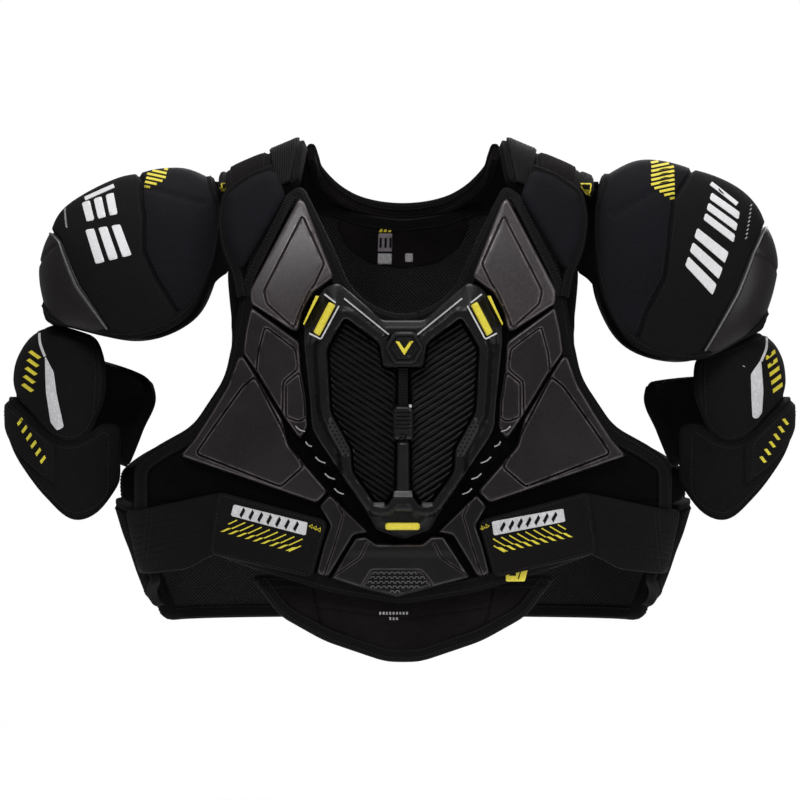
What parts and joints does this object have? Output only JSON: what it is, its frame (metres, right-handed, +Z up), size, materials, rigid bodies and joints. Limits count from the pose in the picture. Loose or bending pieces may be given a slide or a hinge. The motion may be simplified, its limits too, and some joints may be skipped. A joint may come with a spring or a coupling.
{
  "type": "ice hockey shoulder pads",
  "caption": "Hinged chest and back panels with padded shoulder caps, bicep guards, a belly pad and side belts with hook-and-loop tabs.",
  "frame": {"origin": "underside of the shoulder straps at the top of the shoulders, half way between the two sides, where the pads rest on the wearer", "axes": "+X to the wearer's left, the front of the chest faces -Y, +Z up"},
  "size_m": [0.6805, 0.241, 0.4445],
  "materials": {
    "knit_panel": "brushed black knit over foam",
    "mesh_lining": "black open mesh",
    "moulded_foam": "charcoal compression-moulded foam, satin",
    "spine_plastic": "dark moulded plastic",
    "frame_plastic": "dark moulded plastic, satin",
    "crest_plastic": "dark moulded plastic",
    "yellow_trim": "pale yellow moulded trim",
    "ribbed_foam": "ribbed dark foam",
    "elastic_web": "dark woven elastic",
    "neoprene": "dark neoprene",
    "strap_foam": "black padded fabric",
    "cap_plastic": "thin black plastic shell",
    "stretch_wrap": "dark stretch fabric",
    "label_cloth": "pale woven label",
    "belly_foam": "dark padded fabric with bound edge"
  },
  "bodies": {
    "back": {"back_panel": "knit_panel", "back_liner": "mesh_lining", "spine_plate": "spine_plastic", "neck_collar": "strap_foam", "size_label": "label_cloth", "strap_pads": "neoprene", "left_back_strap": "strap_foam", "right_back_strap": "strap_foam", "left_yoke_pad": "neoprene", "right_yoke_pad": "neoprene", "left_scapula_plate": "moulded_foam", "right_scapula_plate": "moulded_foam", "left_kidney_plate": "moulded_foam", "right_kidney_plate": "moulded_foam"},
    "front": {"chest_base": "knit_panel", "chest_liner": "mesh_lining", "abdomen_plate": "moulded_foam", "crest_badge": "crest_plastic", "sternum_frame": "frame_plastic", "slot_tabs": "yellow_trim", "webbing_bands": "elastic_web", "centre_strap": "elastic_web", "centre_sleeve": "frame_plastic", "shoulder_ribbons": "elastic_web", "left_clavicle_plate": "moulded_foam", "right_clavicle_plate": "moulded_foam", "left_pec_plate": "moulded_foam", "right_pec_plate": "moulded_foam", "left_rib_plate": "moulded_foam", "right_rib_plate": "moulded_foam", "left_waist_plate": "moulded_foam", "right_waist_plate": "moulded_foam", "left_sternum_pad": "ribbed_foam", "right_sternum_pad": "ribbed_foam", "left_collarbone_flap": "neoprene", "right_collarbone_flap": "neoprene", "left_front_strap": "strap_foam", "right_front_strap": "strap_foam"},
    "slider": {"sternum_slider": "frame_plastic"},
    "belly": {"extension_pad": "belly_foam"},
    "left_belt": {"left_side_wing": "knit_panel", "left_elastic_belt": "elastic_web", "left_hook_tab": "stretch_wrap"},
    "left_cap": {"left_cap_cover": "neoprene", "left_cap_shell": "cap_plastic", "left_cap_liner": "mesh_lining"},
    "left_arm": {"left_bicep_guard": "neoprene", "left_bicep_pad": "mesh_lining", "left_bicep_wrap": "stretch_wrap"},
    "left_strap": {"left_bicep_strap": "stretch_wrap"},
    "right_belt": {"right_side_wing": "knit_panel", "right_elastic_belt": "elastic_web", "right_hook_tab": "stretch_wrap"},
    "right_cap": {"right_cap_cover": "neoprene", "right_cap_shell": "cap_plastic", "right_cap_liner": "mesh_lining"},
    "right_arm": {"right_bicep_guard": "neoprene", "right_bicep_pad": "mesh_lining", "right_bicep_wrap": "stretch_wrap"},
    "right_strap": {"right_bicep_strap": "stretch_wrap"}
  },
  "joints": [
    {"name": "front_open", "type": "hinge", "parent": "back", "child": "front", "pos_m": [0, 0, 0.01], "axis": [-1, 0, 0], "range_deg": [0, 20]},
    {"name": "belly_tilt", "type": "hinge", "parent": "front", "child": "belly", "pos_m": [0, -0.09, -0.391], "axis": [-1, 0, 0], "range_deg": [0, 45]},
    {"name": "sternum_slide", "type": "slide", "parent": "front", "child": "slider", "axis": [0, 0, 1], "range_m": [0, 0.024]},
    {"name": "right_belt_open", "type": "hinge", "parent": "back", "child": "right_belt", "pos_m": [-0.2432, 0.02, -0.305], "axis": [0.3279, 0, -0.9447], "range_deg": [0, 120]},
    {"name": "right_cap_raise", "type": "hinge", "parent": "back", "child": "right_cap", "pos_m": [-0.161, 0, -0.02], "axis": [0, 1, 0], "range_deg": [0, 75]},
    {"name": "right_arm_swing", "type": "hinge", "parent": "right_cap", "child": "right_arm", "pos_m": [-0.283, 0, -0.15], "axis": [1, 0, 0], "range_deg": [-8, 8]},
    {"name": "right_strap_peel", "type": "hinge", "parent": "right_arm", "child": "right_strap", "pos_m": [-0.3438, 0.0055, -0.235], "axis": [0, 0, -1], "range_deg": [0, 100]},
    {"name": "left_belt_open", "type": "hinge", "parent": "back", "child": "left_belt", "pos_m": [0.2432, 0.02, -0.305], "axis": [0.3279, 0, 0.9447], "range_deg": [0, 120]},
    {"name": "left_cap_raise", "type": "hinge", "parent": "back", "child": "left_cap", "pos_m": [0.168, 0, -0.018], "axis": [0, -1, 0], "range_deg": [0, 75]},
    {"name": "left_arm_swing", "type": "hinge", "parent": "left_cap", "child": "left_arm", "pos_m": [0.2775, 0, -0.15], "axis": [1, 0, 0], "range_deg": [-8, 8]},
    {"name": "left_strap_peel", "type": "hinge", "parent": "left_arm", "child": "left_strap", "pos_m": [0.3383, 0.0055, -0.235], "axis": [0, 0, 1], "range_deg": [0, 100]}
  ],
  "couplings": [
    {"joint": "right_belt_open", "follows": "front_open", "ratio": 6},
    {"joint": "left_belt_open", "follows": "front_open", "ratio": 6}
  ]
}
